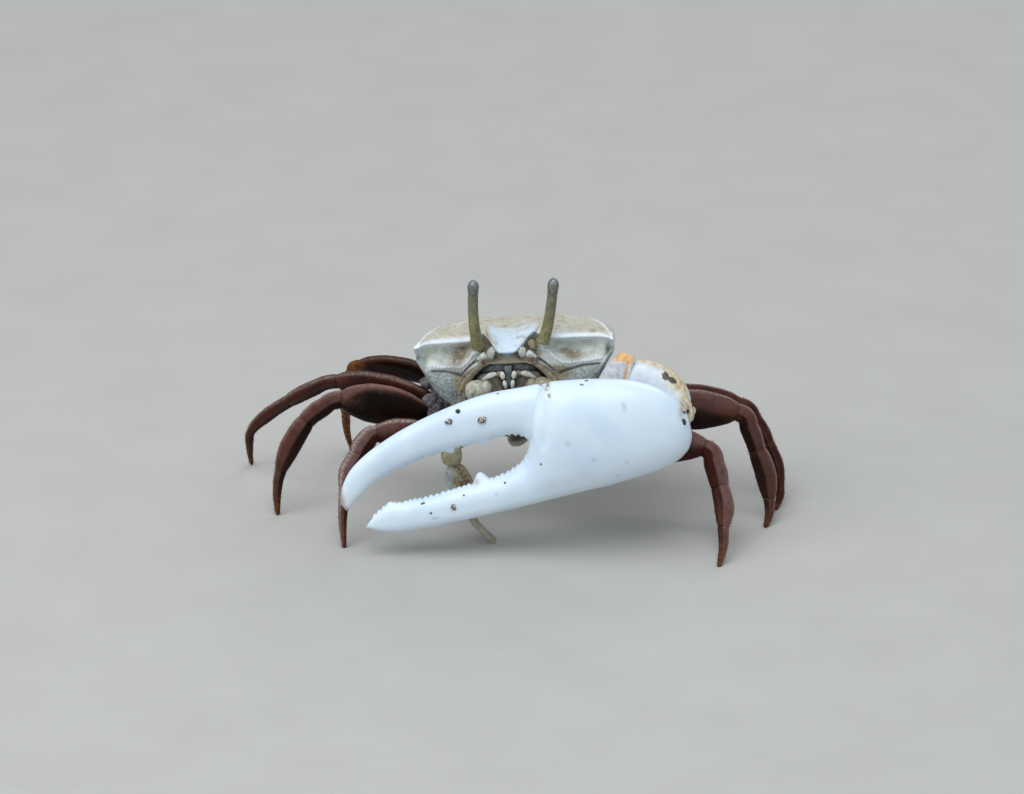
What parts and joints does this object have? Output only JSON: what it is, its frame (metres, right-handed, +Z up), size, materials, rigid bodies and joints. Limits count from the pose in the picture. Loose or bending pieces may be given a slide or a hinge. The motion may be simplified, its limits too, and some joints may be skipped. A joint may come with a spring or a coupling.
{
  "type": "fiddler crab",
  "caption": "Male fiddler crab, life size, standing on its legs with a great white left claw held across its face.",
  "frame": {"origin": "on the floor that the feet stand on, under the middle of the crab's box", "axes": "+X towards the crab's left side, which bears the great claw; -Y the way the crab faces; +Z up"},
  "size_m": [0.0534, 0.0288, 0.0262],
  "materials": {
    "carapace": "satin shell, cream and grey white",
    "breast": "satin shell, grey cream",
    "mouthparts": "satin shell, beige and white",
    "great_claw": "gloss shell, porcelain white",
    "small_claw": "satin shell, olive cream",
    "leg": "half gloss shell, dark red brown",
    "eyestalk": "satin skin, olive",
    "eye": "gloss, grey"
  },
  "bodies": {
    "root": {"carapace": "carapace", "breastplate": "breast", "tail_flap": "breast", "mouthpart_left": "mouthparts", "mouthpart_right": "mouthparts", "feeler_left": "mouthparts", "feeler_right": "mouthparts", "eyestalk_left": "eyestalk", "eyestalk_right": "eyestalk", "eye_left": "eye", "eye_right": "eye", "great_claw_merus": "great_claw", "great_claw_carpus": "great_claw", "great_claw_hand": "great_claw", "great_claw_finger": "great_claw", "small_claw_merus": "small_claw", "small_claw_carpus": "small_claw", "small_claw_hand": "small_claw", "small_claw_finger": "small_claw", "leg_l1_merus": "leg", "leg_l1_carpus": "leg", "leg_l1_propodus": "leg", "leg_l1_dactyl": "leg", "leg_l2_merus": "leg", "leg_l2_carpus": "leg", "leg_l2_propodus": "leg", "leg_l2_dactyl": "leg", "leg_l3_merus": "leg", "leg_l3_carpus": "leg", "leg_l3_propodus": "leg", "leg_l3_dactyl": "leg", "leg_l4_merus": "leg", "leg_l4_carpus": "leg", "leg_l4_propodus": "leg", "leg_l4_dactyl": "leg", "leg_r1_merus": "leg", "leg_r1_carpus": "leg", "leg_r1_propodus": "leg", "leg_r1_dactyl": "leg", "leg_r2_merus": "leg", "leg_r2_carpus": "leg", "leg_r2_propodus": "leg", "leg_r2_dactyl": "leg", "leg_r3_merus": "leg", "leg_r3_carpus": "leg", "leg_r3_propodus": "leg", "leg_r3_dactyl": "leg", "leg_r4_merus": "leg", "leg_r4_carpus": "leg", "leg_r4_propodus": "leg", "leg_r4_dactyl": "leg"}
  },
  "joints": []
}
